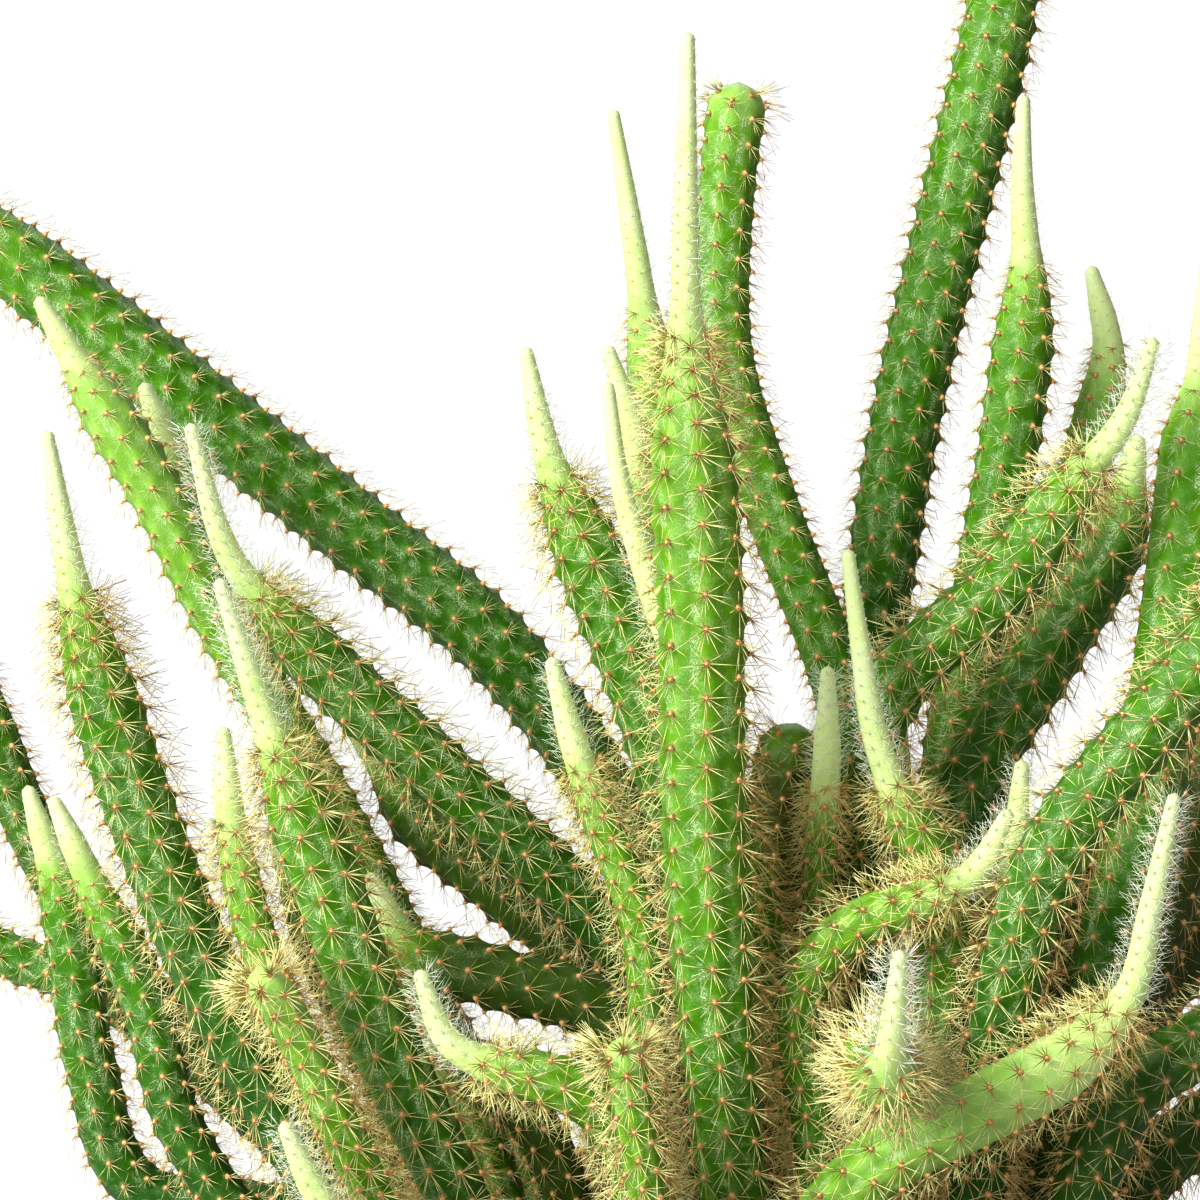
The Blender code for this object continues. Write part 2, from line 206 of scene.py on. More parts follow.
def makeMottle():  # slow drift of tone over a surface, around zero
    group, given, out = newGroup("mottle", {"Vector": None, "Scale": 100.0, "Amount": 0.2}, ["Drift"])
    cloud = addNode(group, "TexNoise", (-500, 0),
                    {"Vector": given["Vector"], "Scale": given["Scale"], "Detail": 3.0, "Roughness": 0.55})
    centred = doMath(group, (-250, 0), "SUBTRACT", cloud.outputs[0], 0.5)
    group.links.new(doMath(group, (0, 0), "MULTIPLY", centred, given["Amount"]), out["Drift"])
    return group


def makePowder():  # a chalky film in broken patches: wax bloom on the skin, lime on the clay
    group, given, out = newGroup(
        "powder", {"Vector": None, "Patch Scale": 100.0, "Grain Scale": 2000.0, "Cover": 0.5}, ["Mask"])
    patch = addNode(group, "TexNoise", (-500, 150),
                    {"Vector": given["Vector"], "Scale": given["Patch Scale"], "Detail": 2.0})
    grain = addNode(group, "TexNoise", (-500, -150),
                    {"Vector": given["Vector"], "Scale": given["Grain Scale"], "Detail": 2.0,
                     "Roughness": 0.7})
    eased = doMath(group, (-450, 320), "MULTIPLY", given["Cover"], 0.45)
    low = doMath(group, (-300, 300), "SUBTRACT", 0.78, eased)
    high = doMath(group, (-300, 420), "ADD", low, 0.16)
    where = fitRange(group, (-100, 150), patch.outputs[0], low, high)
    speck = fitRange(group, (-100, -150), grain.outputs[0], 0.47, 0.58, 0.05, 1.0)
    group.links.new(doMath(group, (200, 0), "MULTIPLY", where, speck, clamp=True), out["Mask"])
    return group


def makeGrain():  # height of a fine rough surface
    group, given, out = newGroup("grain", {"Vector": None, "Scale": 1500.0, "Pits": 0.3}, ["Height"])
    fine = addNode(group, "TexNoise", (-500, 100),
                   {"Vector": given["Vector"], "Scale": given["Scale"], "Detail": 4.0, "Roughness": 0.65})
    pits = addNode(group, "TexVoronoi", (-500, -200), {"Vector": given["Vector"], "Scale": given["Scale"]})
    pit = doMath(group, (-250, -200), "MULTIPLY", pits.outputs[0], given["Pits"])
    group.links.new(doMath(group, (0, 0), "ADD", fine.outputs[0], pit), out["Height"])
    return group


def makeAreoleSpots():  # distance to the nearest areole of the alternating rows, in steps of a rib, and a band on the left slope of each rib for a painted highlight
    group, given, out = newGroup("areoleSpots", {"Vector": None}, ["Spot", "Halo", "HighlightFlank"])
    parts = addNode(group, "SeparateXYZ", (-700, 0), {0: given["Vector"]})
    column = doMath(group, (-550, 200), "ROUND", parts.outputs[0])
    sideways = doMath(group, (-400, 200), "SUBTRACT", parts.outputs[0], column)
    odd = doMath(group, (-550, -200), "PINGPONG", column, 1.0)
    half = doMath(group, (-400, -200), "MULTIPLY", odd, 0.5)
    shifted = doMath(group, (-250, -100), "SUBTRACT", parts.outputs[1], half)
    row = doMath(group, (-250, -250), "ROUND", shifted)
    lengthways = doMath(group, (-100, -150), "SUBTRACT", shifted, row)
    both = addNode(group, "CombineXYZ", (50, 0), {0: sideways, 1: lengthways})
    away = addNode(group, "VectorMath", (200, 0), {0: both.outputs[0]}, operation="LENGTH").outputs[1]
    group.links.new(fitRange(group, (400, 100), away, 0.07, 0.12, 1.0, 0.0), out["Spot"])
    group.links.new(fitRange(group, (400, -150), away, 0.10, 0.24, 1.0, 0.0), out["Halo"])
    # painted highlight: a band on the left slope of each rib, where the key light catches it
    highlightSide = doMath(group, (-250, 300), "ADD", sideways, 0.3)
    highlightSide = doMath(group, (-100, 300), "ABSOLUTE", highlightSide)
    group.links.new(fitRange(group, (400, 300), highlightSide, 0.08, 0.22, 1.0, 0.0), out["HighlightFlank"])
    return group


mottle, powder, grain, areoleSpots = makeMottle(), makePowder(), makeGrain(), makeAreoleSpots()


def newMaterial(name, roughness=0.5):
    material = bpy.data.materials.new(name)
    material.use_nodes = True
    shader = material.node_tree.nodes["Principled BSDF"]
    shader.location = (900, 0)
    material.node_tree.nodes["Material Output"].location = (1250, 0)
    shader.inputs["Roughness"].default_value = roughness
    return material, material.node_tree, shader


def driftOver(tree, place, vector, scale, amount):
    return useGroup(tree, mottle, place, {"Vector": vector, "Scale": scale, "Amount": amount})["Drift"]


def roughen(tree, shader, vector, scale, pits, strength, distance):  # a fine bump all over
    height = useGroup(tree, grain, (200, -400), {"Vector": vector, "Scale": scale, "Pits": pits})["Height"]
    bump = addNode(tree, "Bump", (500, -400),
                   {"Height": height, "Strength": strength, "Distance": distance})
    tree.links.new(bump.outputs[0], shader.inputs["Normal"])


skinLook = {
    "tail": paint(206, 220, 168),
    "pale": paint(202, 222, 142),
    "lime": paint(152, 204, 78),
    "fresh": paint(116, 174, 28),
    "middle": paint(80, 142, 8),
    "deep": paint(40, 92, 16),
    "corkAndShade": paint(92, 76, 30),
    "bloomAndHighlight": paint(200, 226, 172),
    "rust": paint(176, 128, 80),
    "wool": paint(214, 220, 140),
    # painted glow colour of the pale tails
    "tailGlow": paint(164, 172, 128),
    "unlit": paint(0, 0, 0),
}


def makeSkinMaterial():
    look = skinLook
    material, tree, shader = newMaterial("cactusSkin")
    place = objectPlace(tree, (-1500, 0))
    age, crest, corkAndShade = pointValues(tree, (-1500, 600), "age", "crest", "corkAndShade")
    ribMap = addNode(tree, "UVMap", (-1500, -300), uv_map="ribs").outputs[0]
    drift = driftOver(tree, (-1200, 100), place, 160.0, 0.34)
    aged = doMath(tree, (-1000, 400), "ADD", age, drift, clamp=True)
    body = ramp(tree, (-800, 400), aged, [
        (0.0, look["tail"]), (0.09, look["pale"]), (0.22, look["lime"]), (0.43, look["fresh"]),
        (0.68, look["middle"]), (1.0, look["deep"])])
    standing = fitRange(tree, (-800, -500), age, 0.05, 0.35)
    # painted shade: the rib valleys are darkened toward the deep green
    valleyShade = fitRange(tree, (-800, 150), crest, 0.0, 0.7, 0.4, 0.0)
    valleyShade = doMath(tree, (-650, 150), "MULTIPLY", valleyShade, standing)
    film = useGroup(tree, powder, (-1000, -50), {
        "Vector": place, "Patch Scale": 420.0, "Grain Scale": 4600.0, "Cover": 0.8})["Mask"]
    spots = useGroup(tree, areoleSpots, (-1000, -350), {"Vector": ribMap})
    # wax bloom, strongest on the left slope of each rib as a painted highlight
    bloomAndHighlightShare = doMath(tree, (-700, -50), "MULTIPLY", film,
                       fitRange(tree, (-850, -150), spots["HighlightFlank"], 0.0, 1.0, 0.28, 0.9))
    bloomAndHighlightShare = doMath(tree, (-550, -50), "MULTIPLY", bloomAndHighlightShare, standing)
    bloomAndHighlightShare = doMath(tree, (-400, -50), "MULTIPLY", bloomAndHighlightShare,
                       fitRange(tree, (-550, -200), age, 0.86, 1.0, 1.0, 0.2))
    halo = doMath(tree, (-600, -350), "MULTIPLY", spots["Halo"], 0.3)
    halo = doMath(tree, (-450, -350), "MULTIPLY", halo, standing)
    spot = doMath(tree, (-600, -500), "MULTIPLY", spots["Spot"], standing)
    # cork colour: a corky foot, plus painted shade on the stems inside the clump
    covers = [(valleyShade, "deep"), (bloomAndHighlightShare, "bloomAndHighlight"), (halo, "wool"), (spot, "rust"), (corkAndShade, "corkAndShade")]
    for i, (share, tone) in enumerate(covers):
        body = mixColour(tree, (-500 + 200 * i, 300), share, body, look[tone])
    tree.links.new(body, shader.inputs["Base Color"])
    rough = fitRange(tree, (300, -50), film, 0.0, 1.0, 0.3, 0.56)
    tree.links.new(rough, shader.inputs["Roughness"])
    # painted glow: the pale tails give off light so that their shaded side stays pale, the body gives off
    # none
    glow = mixColour(tree, (300, -150), standing, look["tailGlow"], look["unlit"])
    tree.links.new(glow, shader.inputs["Emission Color"])
    shader.inputs["Emission Strength"].default_value = 0.45
    material.cycles.emission_sampling = "NONE"
    roughen(tree, shader, place, 3400.0, 0.4, 0.6, 0.00014)
    shader.inputs["Specular IOR Level"].default_value = 0.18
    return material


spineLook = {
    "root": paint(226, 180, 124),
    "brown": paint(156, 110, 62),
    "gold": paint(236, 206, 128),
    "cream": paint(252, 248, 176),
    "hair": paint(238, 242, 222),
    "pad": paint(228, 178, 118),
    "tailPad": paint(222, 178, 132),
    # the glow colours below are painted glow, which keeps the shaded sides of needles, hairs and pads pale
    "needleGlow": paint(88, 77, 48),
    "hairGlow": paint(195, 198, 186),
    "padGlow": paint(152, 112, 76),
    "tailPadGlow": paint(236, 200, 158),
}


def makeSpineMaterial():
    look = spineLook
    material, tree, shader = newMaterial("cactusSpine", 0.38)
    place = objectPlace(tree, (-1200, 200))
    shaft, warmth, hair, pad = pointValues(tree, (-1200, 0), "shaft", "warmth", "hair", "pad")
    drift = driftOver(tree, (-950, 200), place, 900.0, 0.36)
    warm = doMath(tree, (-750, 0), "ADD", warmth, drift, clamp=True)
    body = ramp(tree, (-550, 200), warm, [(0.0, look["cream"]), (0.5, look["gold"]), (1.0, look["brown"])])
    reach = fitRange(tree, (-950, -300), warmth, 0.0, 0.6, 0.12, 0.8)
    nearPad = fitRange(tree, (-750, -200), shaft, 0.0, reach, 0.7, 0.0)
    rootTone = mixColour(tree, (-550, -100), warmth, look["root"], look["brown"])
    body = mixColour(tree, (-350, 200), nearPad, body, rootTone)
    body = mixColour(tree, (-150, 200), hair, body, look["hair"])
    padTone = mixColour(tree, (-150, 0), warmth, look["pad"], look["tailPad"])
    body = mixColour(tree, (50, 200), pad, body, padTone)
    tree.links.new(body, shader.inputs["Base Color"])
    shader.inputs["Specular IOR Level"].default_value = 0.4
    # painted glow: needles, hairs and pads give off light so that their shaded sides stay pale, the roots
    # and pads most
    glow = mixColour(tree, (-150, -200), nearPad, look["needleGlow"], look["padGlow"])
    glow = mixColour(tree, (50, -200), hair, glow, look["hairGlow"])
    padGlowTone = mixColour(tree, (50, -400), warmth, look["padGlow"], look["tailPadGlow"])
    glow = mixColour(tree, (300, -200), pad, glow, padGlowTone)
    tree.links.new(glow, shader.inputs["Emission Color"])
    shader.inputs["Emission Strength"].default_value = 0.4
    material.cycles.emission_sampling = "NONE"
    return material


Stem = namedtuple("Stem", "thickness shoulder tail ribs tone detail root points")

# Thickness, shoulder and tail length in millimetres, then ribs, tone from pale (-) to deep (+), how
# finely it is made, the root's place on the soil and the points that the stem passes through.
# The deep tones of the stems inside the clump, such as the shade_ ones, are painted shade
stems = {
    "front_main": Stem(13.6, 30, 34, 8, -0.1, "near", (4, -30), [
        (-1, -38, 140), (-5, -41, 185), (-6, -41, 225), (-8, -40, 262), (-8, -40, 303)]),
    "left_outer": Stem(11.5, 24, 18, 8, 0.24, "near", (-44, -20), [
        (-64, -25, 139), (-79, -25, 170), (-88, -25, 195), (-95, -25, 221), (-99, -25, 246)]),
    "left_front": Stem(11.1, 18, 20, 8, 0.12, "near", (-27, -37), [
        (-41, -45, 140), (-52, -47, 166), (-60, -46, 190), (-66, -45, 206), (-73, -45, 228)]),
    "left_long": Stem(11.0, 20, 22, 8, 0.25, "near", (2, 8), [
        (-4, 2, 140), (-17, 0, 163), (-44, -2, 191), (-64, -5, 211), (-74, -8, 224),
        (-80, -10, 245)]),
    "back_left_long": Stem(14.0, 30, 30, 10, 0.14, "short", (-9, 33), [
        (-10, 42, 150), (-20, 47, 178), (-37, 49, 201), (-60, 50, 220), (-95, 48, 249),
        (-125, 46, 276), (-142, 44, 309)]),
    "left_pale": Stem(9.4, 15, 8, 8, -0.2, "short", (-32, 10), [
        (-46, 13, 150), (-66, 15, 190), (-79, 15, 213), (-88, 14, 232), (-97, 14, 247),
        (-105, 14, 261)]),
    "left_pale_behind": Stem(8.0, 15, 6, 8, -0.12, "short", (-28, 26), [
        (-48, 32, 150), (-70, 33, 190), (-81, 31, 212), (-86, 30, 232), (-91, 30, 246)]),
    "far_left_up": Stem(9.1, 16, 8, 8, 0.24, "short", (-49, 10), [
        (-54, 11, 116), (-74, 12, 119), (-92, 12, 122), (-99, 12, 141), (-102, 12, 164),
        (-108, 12, 186)]),
    "far_left_near": Stem(8.4, 20, 8, 8, 0.24, "short", (-52, -6), [
        (-57, -6, 115), (-72, -6, 121), (-83, -6, 136), (-89, -5, 158), (-96, -5, 174),
        (-102, -5, 188)]),
    "far_left_dark": Stem(9.0, 20, 16, 8, 0.3, "short", (-40, 34), [
        (-45, 37, 115), (-62, 40, 124), (-84, 42, 137), (-103, 42, 156), (-113, 41, 176),
        (-119, 40, 196), (-122, 38, 220)]),
    "far_left_level": Stem(8.2, 18, 14, 8, 0.2, "short", (-48, 23), [
        (-53, 25, 115), (-70, 27, 124), (-88, 27, 141), (-102, 26, 151), (-115, 26, 156),
        (-127, 25, 165), (-135, 24, 182)]),
    "left_shoot": Stem(6.4, 16, 10, 8, -0.15, "mid", (-38, -29), [
        (-52, -33, 138), (-64, -33, 160), (-70, -31, 175), (-73, -30, 190), (-74, -30, 204)]),
    "left_blunt": Stem(6.6, 0, 0, 8, -0.2, "near", (-34, -43), [
        (-39, -48, 118), (-49, -57, 138), (-56, -61, 154), (-61, -62, 166), (-67, -62, 177)]),
    "left_low_tip": Stem(6.2, 18, 10, 8, -0.15, "near", (-23, -49), [
        (-29, -55, 117), (-43, -66, 129), (-53, -72, 140), (-59, -72, 149), (-63, -72, 158)]),
    "left_level": Stem(8.2, 14, 12, 8, -0.08, "near", (-14, -47), [
        (-14, -54, 133), (-18, -57, 153), (-26, -60, 160), (-34, -60, 162), (-40, -60, 165),
        (-45, -60, 176)]),
    "front_blunt": Stem(6.0, 0, 0, 8, -0.12, "near", (-4, -54), [
        (-6, -58, 115), (-11, -67, 134), (-14, -72, 150), (-17, -72, 170)]),
    "shade_left": Stem(10.5, 14, 6, 8, 0.4, "far", (-17, -23), [
        (-16, -20, 138), (-20, -19, 158), (-35, -20, 164), (-48, -20, 169), (-54, -20, 180)]),
    "shade_left_low": Stem(8.0, 14, 6, 8, 0.42, "far", (-27, -22), [
        (-25, -27, 134), (-33, -31, 149), (-42, -32, 154), (-48, -32, 163)]),
    "middle_left": Stem(12.6, 22, 14, 8, 0.2, "near", (-2, -14), [
        (-3, -13, 150), (-8, -11, 188), (-15, -9, 210), (-21, -8, 224), (-27, -8, 238),
        (-31, -8, 256)]),
    "middle_shoot": Stem(7.0, 34, 34, 8, -0.1, "mid", (14, -15), [
        (8, -21, 150), (-4, -24, 200), (-13, -25, 224), (-17, -25, 238), (-19, -25, 253)]),
    "middle_behind": Stem(7.0, 22, 12, 8, -0.2, "far", (-12, 16), [
        (-7, 19, 150), (-8, 20, 190), (-13, 20, 222), (-15, 20, 240), (-19, 20, 253)]),
    "middle_back": Stem(10.2, 24, 26, 8, -0.1, "short", (7, 47), [
        (3, 54, 150), (-4, 55, 200), (-11, 53, 240), (-14, 51, 262), (-18, 50, 287)]),
    "behind_main": Stem(9.6, 0, 0, 8, 0.0, "short", (22, 10), [
        (22, 12, 150), (17, 15, 200), (6, 17, 229), (-1, 18, 252), (-1, 18, 275), (1, 18, 293)]),
    "shade_middle": Stem(11.5, 0, 0, 8, 0.6, "far", (6, 24), [
        (8, 29, 150), (8, 30, 178), (11, 30, 192)]),
    "back_tall": Stem(12.4, 24, 22, 10, 0.16, "short", (20, 32), [
        (20, 37, 150), (23, 40, 200), (29, 40, 243), (36, 40, 275), (43, 40, 307),
        (46, 40, 345)]),
    "right_tall": Stem(10.5, 20, 20, 8, 0.12, "short", (34, 12), [
        (33, 15, 150), (34, 18, 185), (39, 20, 215), (43, 20, 240), (45, 20, 262),
        (44, 20, 278), (44, 20, 291)]),
    "right_tall_behind": Stem(8.6, 18, 8, 8, -0.16, "short", (46, 20), [
        (44, 27, 150), (43, 30, 190), (51, 31, 215), (57, 32, 238), (59, 32, 250),
        (56, 32, 264)]),
    "right_long": Stem(10.6, 16, 16, 8, 0.18, "near", (27, -5), [
        (22, -8, 150), (18, -11, 194), (24, -16, 208), (39, -24, 225), (47, -28, 238),
        (54, -30, 248), (58, -31, 260)]),
    "right_long_below": Stem(11.4, 14, 4, 8, 0.26, "mid", (31, 4), [
        (34, 2, 150), (36, 1, 188), (48, 1, 210), (57, 0, 227), (60, 0, 242)]),
    "right_edge": Stem(12.0, 14, 16, 8, 0.08, "short", (43, -13), [
        (51, -17, 150), (60, -18, 190), (64, -18, 220), (66, -18, 243), (67, -18, 271)]),
    "right_spiny": Stem(10.8, 20, 20, 8, 0.16, "near", (33, -38), [
        (35, -42, 150), (45, -46, 192), (57, -47, 208), (67, -46, 221), (76, -44, 238),
        (80, -43, 264)]),
    "front_right": Stem(10.9, 20, 26, 8, -0.37, "near", (6, -48), [
        (6, -53, 128), (17, -55, 145), (35, -56, 156), (45, -56, 162), (53, -56, 171),
        (56, -56, 184), (59, -56, 200)]),
    "facing": Stem(10.4, 12, 14, 8, -0.15, "dense", (23, -45), [
        (22, -39, 142), (20, -48, 159), (18, -66, 165), (18, -84, 168), (18, -90, 174),
        (19, -91, 187)]),
    "front_arm": Stem(7.6, 16, 10, 8, -0.12, "near", (14, -35), [
        (11, -33, 145), (9, -33, 165), (17, -38, 177), (26, -40, 181), (32, -40, 184),
        (38, -40, 194)]),
    "right_upright": Stem(7.2, 18, 12, 8, 0.2, "mid", (36, -23), [
        (38, -24, 140), (40, -25, 165), (40, -25, 180), (41, -25, 198)]),
    "right_shoot": Stem(8.5, 12, 32, 8, -0.06, "near", (25, -26), [
        (28, -28, 150), (28, -30, 183), (22, -32, 195), (19, -32, 204), (17, -32, 216),
        (15, -32, 230)]),
    "inner_shoot": Stem(5.4, 18, 12, 8, -0.12, "mid", (12, 1), [
        (12, -12, 140), (12, -19, 178), (13, -21, 198), (13, -21, 211)]),
    "front_shoot": Stem(6.0, 18, 12, 8, -0.1, "mid", (-9, -39), [
        (-13, -36, 150), (-15, -36, 178), (-21, -35, 194), (-25, -35, 207), (-27, -35, 215)]),
    "shade_back_left": Stem(11.5, 14, 6, 8, 0.4, "far", (-15, 3), [
        (-15, 9, 140), (-22, 14, 157), (-36, 19, 169), (-47, 21, 178), (-53, 22, 186),
        (-60, 22, 195)]),
    "right_level": Stem(10.6, 18, 14, 8, 0.3, "mid", (46, -32), [
        (50, -38, 138), (57, -40, 154), (66, -40, 160), (76, -39, 168), (83, -38, 188)]),
    "right_low": Stem(11.5, 18, 14, 8, 0.32, "mid", (56, -8), [
        (63, -9, 131), (76, -9, 142), (88, -8, 154), (97, -7, 179)]),
    "right_shade": Stem(9.4, 18, 14, 8, 0.5, "far", (50, 6), [
        (58, 13, 128), (66, 19, 156), (74, 23, 182), (80, 25, 212)]),
    "back_right": Stem(10.0, 20, 20, 8, 0.35, "far", (35, 38), [
        (39, 43, 117), (53, 54, 142), (70, 64, 172), (80, 68, 196), (88, 70, 231)]),
    "left_shade": Stem(8.5, 16, 10, 8, 0.5, "far", (-34, -4), [
        (-50, -8, 139), (-57, -10, 155), (-63, -10, 169), (-67, -10, 181), (-69, -10, 190)]),
    "right_behind": Stem(12.5, 18, 12, 8, 0.5, "far", (47, 33), [
        (48, 34, 117), (54, 36, 127), (63, 38, 138), (72, 39, 150), (78, 40, 165),
        (82, 40, 184)]),
    "back_middle": Stem(10.4, 18, 18, 8, 0.35, "far", (15, 50), [
        (17, 56, 117), (24, 74, 138), (29, 88, 160), (31, 94, 178), (28, 96, 196)]),
    "back_left": Stem(9.6, 18, 16, 8, 0.0, "far", (-18, 46), [
        (-19, 53, 117), (-22, 68, 139), (-29, 77, 155), (-40, 81, 167), (-48, 84, 180)]),
    "front_low": Stem(9.0, 18, 20, 8, -0.02, "far", (17, -55), [
        (20, -59, 119), (32, -74, 127), (44, -90, 119), (52, -101, 106), (57, -108, 103),
        (60, -113, 114)]),
}

# How finely a stem is made: columns round a rib, needles and hairs in a tuft, their size and lean, the
# first needle that only the shoulder has, and how far painted shade browns the needles on the side away
# from the light
details = {
    "dense": dict(columns=4, needles=16, hairs=6, size=1.24, lean=0.84, sparse=7, brown=0.1),
    "near": dict(columns=4, needles=18, hairs=6, size=1.0, lean=1, sparse=11, brown=0.5),
    "mid": dict(columns=3, needles=14, hairs=5, size=0.9, lean=1, sparse=9, brown=0.5),
    "far": dict(columns=2, needles=6, hairs=4, size=0.7, lean=1, sparse=0, brown=0.6),
    "short": dict(columns=3, needles=9, hairs=5, size=0.62, lean=1, sparse=0, brown=0.5),
}

stemShape = {
    "soilTop": 102,
    "rootDepth": 7.7,
    "rootRise": 1,
    "rootThickness": 0.68,
    "swell": 0.55,
    "tailThickness": 4.1,
    "tipThickness": 1.9,
    "tipRound": 1.0,
    "youngTone": 0.09,
    "bluntShoulder": 0.55,
    "bluntReach": 2.5,
    "ribDepth": 0.13,
    "knobDepth": 0.14,
    "pitch": 3.1,
    "pitchShare": 0.13,
    "tailPitch": 2.3,
    "twist": 0.35,
    "bareFoot": 12,
    "bareTip": 0.8,
    "bluntRow": 0.8,
    "rowShift": 0.3,
    "rowsPerStep": 4,
    "firstCrest": math.radians(38),
    "crestStep": 0.3,
    "oldTone": 0.88,
    "fade": 0.38,
    "fadeStart": 20,
    "footCork": 0.75,
    "corkStart": 8,
    "corkReach": 14,
    "paintedShadeTone": 0.25,
    "paintedShadeShare": 1.8,
    "mostCorkAndShade": 0.8,
    "weld": 0.004,
}


def pathOf(stem):  # points along the smooth line through the stem's own points, in millimetres
    x, y = stem.root
    low = stemShape["soilTop"] - stemShape["rootDepth"]
    high = stemShape["soilTop"] + stemShape["rootRise"]
    stops = np.array([(x, y, low), (x, y, high), *stem.points], float)
    chords = np.diff(stops, axis=0)
    lengths = np.linalg.norm(chords, axis=1)
    directions = chords / lengths[:, None]
    tangents = [directions[0], directions[0]]
    for i in range(2, len(stops) - 1):
        tangents.append(unit(directions[i - 1] / lengths[i - 1] + directions[i] / lengths[i]))
    tangents.append(directions[-1])
    samples = []
    for i, length in enumerate(lengths):
        t = np.linspace(0, 1, max(2, round(length)), endpoint=False)[:, None]
        weight = 2 * t**3 - 3 * t**2 + 1
        samples.append(weight * stops[i] + (1 - weight) * stops[i + 1] + length * (
            (t**3 - 2 * t**2 + t) * tangents[i] + (t**3 - t**2) * tangents[i + 1]))
    return np.vstack([*samples, stops[-1:]])


def courseOf(stem):  # middle line, radius, shoulder share and cross directions at every millimetre
    shape = stemShape
    points = pathOf(stem)
    along = np.concatenate([[0], np.cumsum(np.linalg.norm(np.diff(points, axis=0), axis=1))])
    length = along[-1]
    full = stem.thickness / 2
    start = shape["rootThickness"]
    body = full * (start + (1 - start) * smoothStep(along / (shape["swell"] * length)))
    if stem.tail:
        tailStart = length - stem.tail
        shoulder = smoothStep((along - tailStart + stem.shoulder) / stem.shoulder)
        inTail = np.clip((along - tailStart) / stem.tail, 0, 1)
        young = shape["youngTone"] * shoulder * (1 - inTail)
        thin = (shape["tailThickness"] * (1 - inTail) + shape["tipThickness"] * inTail) / 2
        radius = body + (np.minimum(body, thin) - body) * shoulder
    else:
        reach = shape["bluntReach"] * full
        shoulder = shape["bluntShoulder"] * smoothStep((along - length + reach) / reach)
        young = 0 * shoulder
        radius = body * np.sqrt(1 - np.clip((along - length + full) / full, 0, 1) ** 2)
    tangents = unit(np.gradient(points, axis=0))
    side = np.array([1.0, 0.0, 0.0])
    sides = []
    for tangent in tangents:
        side = unit(side - tangent * np.dot(side, tangent))
        sides.append(side)
    sides = np.array(sides)
    pitch = shape["pitch"] + shape["pitchShare"] * stem.thickness
    pitch = pitch * (1 - shoulder) + shape["tailPitch"] * shoulder
    steps = np.concatenate([[0], np.cumsum(np.diff(along) * 2 / (pitch[1:] + pitch[:-1]))])
    steps *= round(steps[-1]) / steps[-1]
    return dict(points=points, along=along, length=length, radius=radius, shoulder=shoulder, young=young,
                tangents=tangents, sides=sides, ups=np.cross(tangents, sides), steps=steps,
                slope=np.gradient(radius, along), stem=stem)


def read(course, along, key):
    values = course[key]
    if values.ndim == 1:
        return np.interp(along, course["along"], values)
    return np.stack([np.interp(along, course["along"], values[:, axis]) for axis in range(3)], 1)


def surface(course, rib, step, turnBy):
    # A rib number and a step along the ribs give a point of the skin, its crest share and its outward way
    shape = stemShape
    along = np.interp(step, course["steps"], course["along"])
    radius = read(course, along, "radius")
    shoulder = read(course, along, "shoulder")
    column = np.round(rib)
    crest = 0.5 + 0.5 * np.cos(fullTurn * rib)
    phase = fullTurn * (step - 0.5 * (column % 2))
    knob = 0.5 + 0.5 * np.cos(phase + 0.5 * np.sin(phase))
    relief = (1 - shoulder) * smoothStep(along / shape["bareFoot"])
    shrink = shape["ribDepth"] * (1 - crest) + shape["knobDepth"] * (1 - knob) * crest**1.3
    radius = radius * (1 - relief * shrink)
    left = np.maximum(course["length"] - along, 0) / shape["tipRound"]
    radius = radius * np.sqrt(np.clip(1 - (1 - np.minimum(left, 1)) ** 2, 0, 1))
    angle = fullTurn * rib / course["stem"].ribs + turnBy + shape["twist"] * along / course["length"]
    side, up = unit(read(course, along, "sides")), unit(read(course, along, "ups"))
    outward = side * np.cos(angle)[:, None] + up * np.sin(angle)[:, None]
    centre = read(course, along, "points")
    return centre + outward * radius[:, None], crest, outward, along


